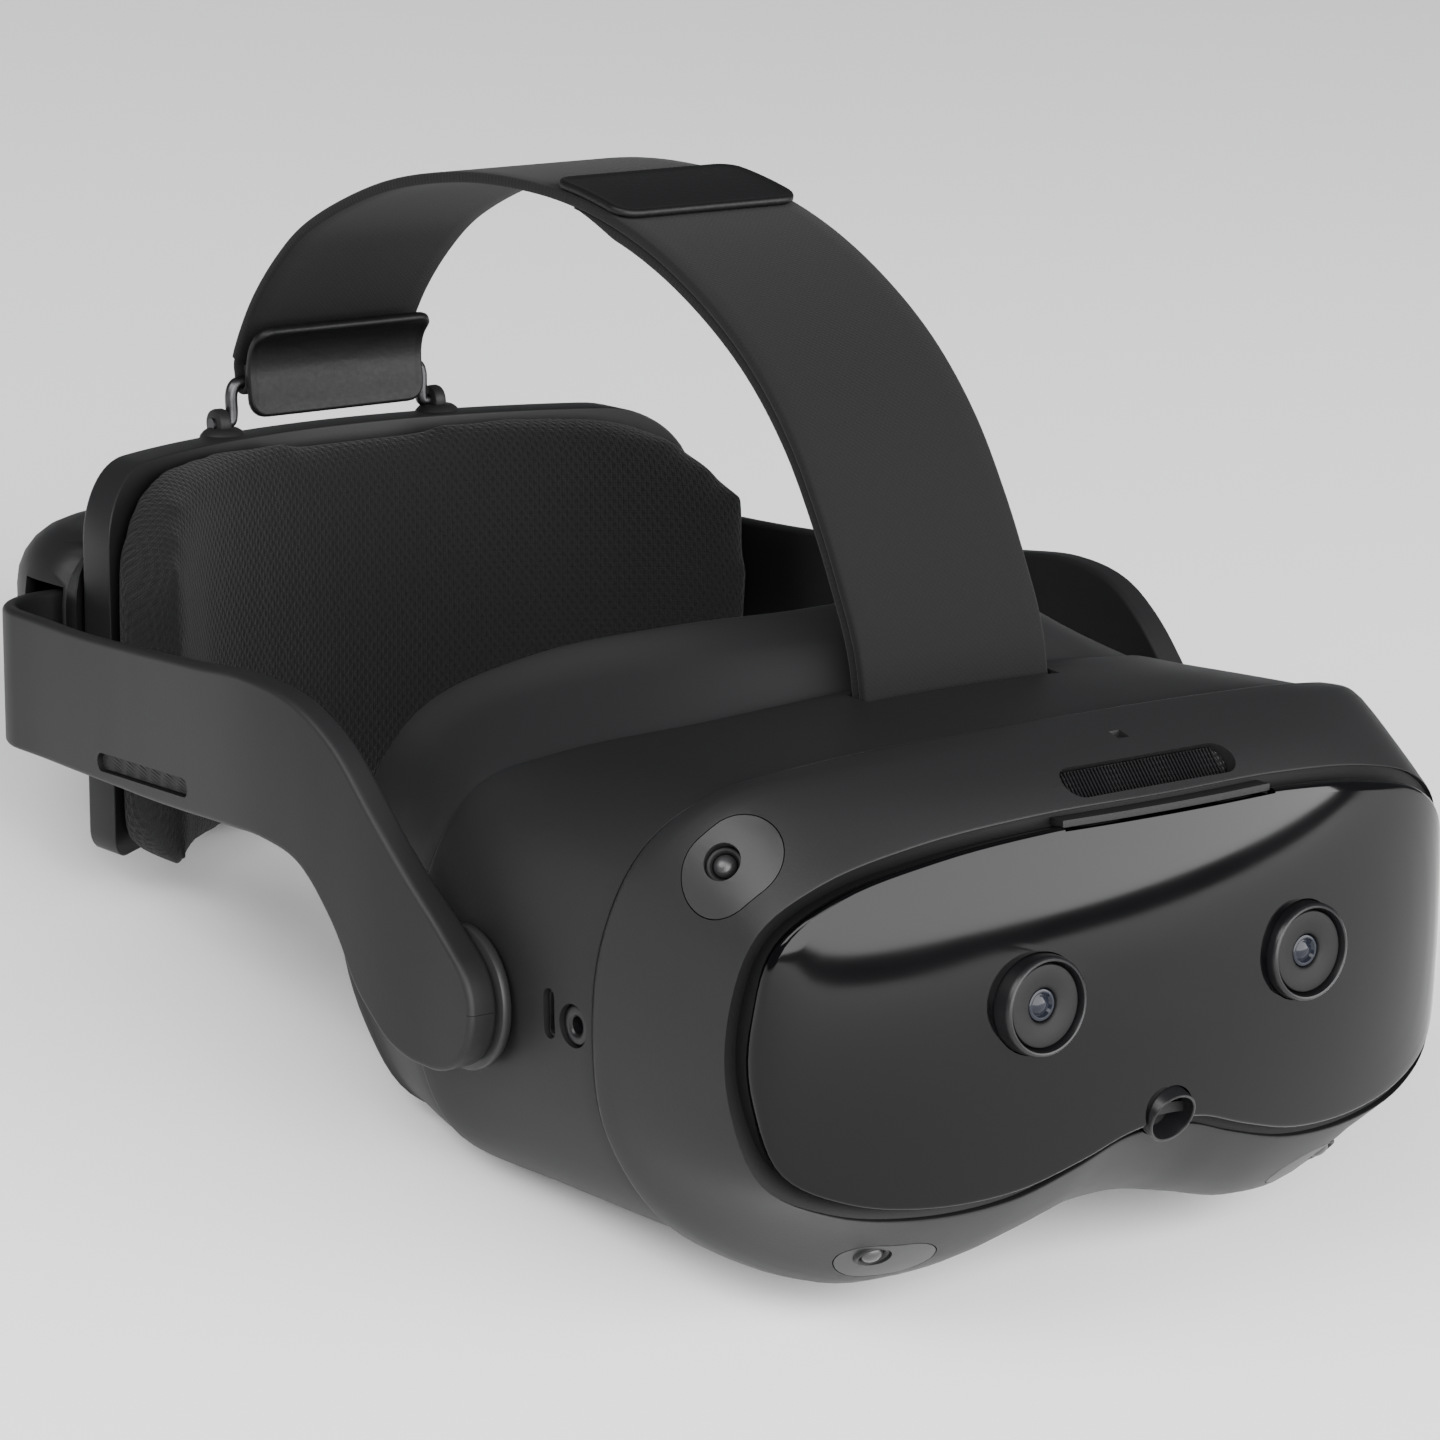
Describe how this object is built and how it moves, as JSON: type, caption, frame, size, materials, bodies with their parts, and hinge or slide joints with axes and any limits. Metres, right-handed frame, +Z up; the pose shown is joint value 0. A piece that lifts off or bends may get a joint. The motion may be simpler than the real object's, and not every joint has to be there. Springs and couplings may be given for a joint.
{
  "type": "vr headset",
  "caption": "Standalone virtual-reality headset with a rounded black visor, a glossy front window, side arms, a padded rear battery band and a top strap.",
  "frame": {"origin": "middle of the headset's footprint, on the table it stands on", "axes": "+X to the wearer's left, +Y towards the rear battery band, -Y the way the wearer looks, +Z up"},
  "size_m": [0.21, 0.3203, 0.1719],
  "materials": {
    "shell": "fine moulded texture, dark grey",
    "shell_front": "fine moulded texture, slightly lighter grey",
    "shell_soft": "soft-touch matt",
    "insert": "satin",
    "trim_dark": "satin black",
    "window": "polished black",
    "lens": "coated",
    "eye_lens": "clear",
    "mesh": "woven acoustic mesh",
    "knit": "black knit with a crossed pattern",
    "webbing": "brushed black webbing",
    "tab": "moulded soft tab",
    "steel": "dark coated steel",
    "aluminium": "as machined",
    "board": "solder resist"
  },
  "bodies": {
    "visor": {"front_bezel": "shell_front", "front_window": "window", "window_bridge": "trim_dark", "vent_mesh": "mesh", "front_microphone": "mesh", "depth_sensor_hood": "trim_dark", "depth_sensor_lens": "lens", "body_shell": "shell", "face_shield": "shell_soft", "strap_anchor_bar": "steel", "usb_c_socket": "steel", "audio_jack": "trim_dark", "optical_chassis": "aluminium", "mainboard": "board", "heat_sink": "aluminium", "fan_housing": "trim_dark", "proximity_sensor": "window", "top_strap": "webbing", "strap_end_pad": "tab", "passthrough_barrel_right": "trim_dark", "passthrough_lens_right": "lens", "tracking_insert_upper_right": "insert", "tracking_insert_lower_right": "insert", "tracking_lens_upper_right": "lens", "tracking_lens_lower_right": "lens", "passthrough_barrel_left": "trim_dark", "passthrough_lens_left": "lens", "tracking_insert_upper_left": "insert", "tracking_insert_lower_left": "insert", "tracking_lens_upper_left": "lens", "tracking_lens_lower_left": "lens"},
    "face_pad": {"face_cushion": "knit"},
    "power_key": {"power_button": "trim_dark"},
    "volume_key": {"volume_rocker": "trim_dark"},
    "ipd_wheel": {"ipd_dial": "trim_dark"},
    "cooling_fan": {"fan_rotor": "trim_dark"},
    "eye_unit_right": {"lens_barrel_right": "trim_dark", "eye_lens_right": "eye_lens", "display_panel_right": "window"},
    "eye_unit_left": {"lens_barrel_left": "trim_dark", "eye_lens_left": "eye_lens", "display_panel_left": "window"},
    "arms": {"arm_right": "shell", "speaker_mesh_right": "mesh", "hinge_disc_right": "insert", "arm_left": "shell", "speaker_mesh_left": "mesh", "hinge_disc_left": "insert"},
    "rear_module": {"pad_frame": "shell", "rear_housing": "shell"},
    "head_pad": {"rear_pad": "knit"},
    "battery": {"battery_pack": "shell_soft"},
    "latch_key": {"battery_latch": "trim_dark"},
    "adjuster": {"fit_dial": "trim_dark"},
    "gear_rack_right": {"rack_right": "trim_dark"},
    "gear_rack_left": {"rack_left": "trim_dark"},
    "strap_loop": {"bail": "steel", "strap_tab": "tab"}
  },
  "joints": [
    {"name": "arm_tilt", "type": "hinge", "parent": "visor", "child": "arms", "pos_m": [0, -0.06178, 0.04401], "axis": [1, 0, 0], "range_deg": [-8, 10], "deforming": ["top_strap"]},
    {"name": "fit_slide", "type": "slide", "parent": "arms", "child": "rear_module", "axis": [0, 0.9848, -0.1736], "range_m": [-0.008, 0.004], "deforming": ["top_strap"]},
    {"name": "fit_dial_turn", "type": "hinge", "parent": "rear_module", "child": "adjuster", "pos_m": [0, 0.14151, 0.01751], "axis": [0, -0.9848, 0.1736], "range_deg": [-77, 39]},
    {"name": "rack_right_slide", "type": "slide", "parent": "rear_module", "child": "gear_rack_right", "axis": [-1, 0, 0], "range_m": [-0.008, 0.004]},
    {"name": "rack_left_slide", "type": "slide", "parent": "rear_module", "child": "gear_rack_left", "axis": [1, 0, 0], "range_m": [-0.008, 0.004]},
    {"name": "battery_slide", "type": "slide", "parent": "rear_module", "child": "battery", "axis": [0, 0.9848, -0.1736], "range_m": [0, 0.03]},
    {"name": "latch_press", "type": "slide", "parent": "rear_module", "child": "latch_key", "axis": [0, -0.1736, -0.9848], "range_m": [0, 0.0015], "stiffness_N_per_m": 500},
    {"name": "head_pad_pull", "type": "slide", "parent": "rear_module", "child": "head_pad", "axis": [0, -0.9848, 0.1736], "range_m": [0, 0.015]},
    {"name": "bail_swing", "type": "hinge", "parent": "rear_module", "child": "strap_loop", "pos_m": [0, 0.1342, 0.08836], "axis": [1, 0, 0], "range_deg": [-15, 15], "deforming": ["top_strap"]},
    {"name": "face_pad_pull", "type": "slide", "parent": "visor", "child": "face_pad", "axis": [0, 0.9848, -0.1736], "range_m": [0, 0.012]},
    {"name": "power_press", "type": "slide", "parent": "visor", "child": "power_key", "axis": [-1, 0, 0], "range_m": [0, 0.001], "stiffness_N_per_m": 500},
    {"name": "volume_rock", "type": "hinge", "parent": "visor", "child": "volume_key", "pos_m": [0.0874, -0.08267, 0.04993], "axis": [0, 0.9848, -0.1736], "range_deg": [-4, 4], "stiffness_Nm_per_rad": 0.2},
    {"name": "ipd_turn", "type": "hinge", "parent": "visor", "child": "ipd_wheel", "pos_m": [0, -0.07593, 0.02539], "axis": [0, -0.9848, 0.1736], "range_deg": [-50, 50]},
    {"name": "lens_right_slide", "type": "slide", "parent": "visor", "child": "eye_unit_right", "axis": [-1, 0, 0], "range_m": [-0.0038, 0.0038]},
    {"name": "lens_left_slide", "type": "slide", "parent": "visor", "child": "eye_unit_left", "axis": [1, 0, 0], "range_m": [-0.0038, 0.0038]},
    {"name": "fan_spin", "type": "hinge", "parent": "visor", "child": "cooling_fan", "pos_m": [0, -0.13383, 0.05692], "axis": [0, 0.9848, -0.1736], "continuous": true}
  ],
  "couplings": [
    {"joint": "fit_dial_turn", "follows": "fit_slide", "rad_per_m": 166.67},
    {"joint": "rack_right_slide", "follows": "fit_slide", "ratio": 1},
    {"joint": "rack_left_slide", "follows": "fit_slide", "ratio": 1},
    {"joint": "lens_right_slide", "follows": "ipd_turn", "m_per_rad": 0.0043},
    {"joint": "lens_left_slide", "follows": "ipd_turn", "m_per_rad": 0.0043}
  ]
}
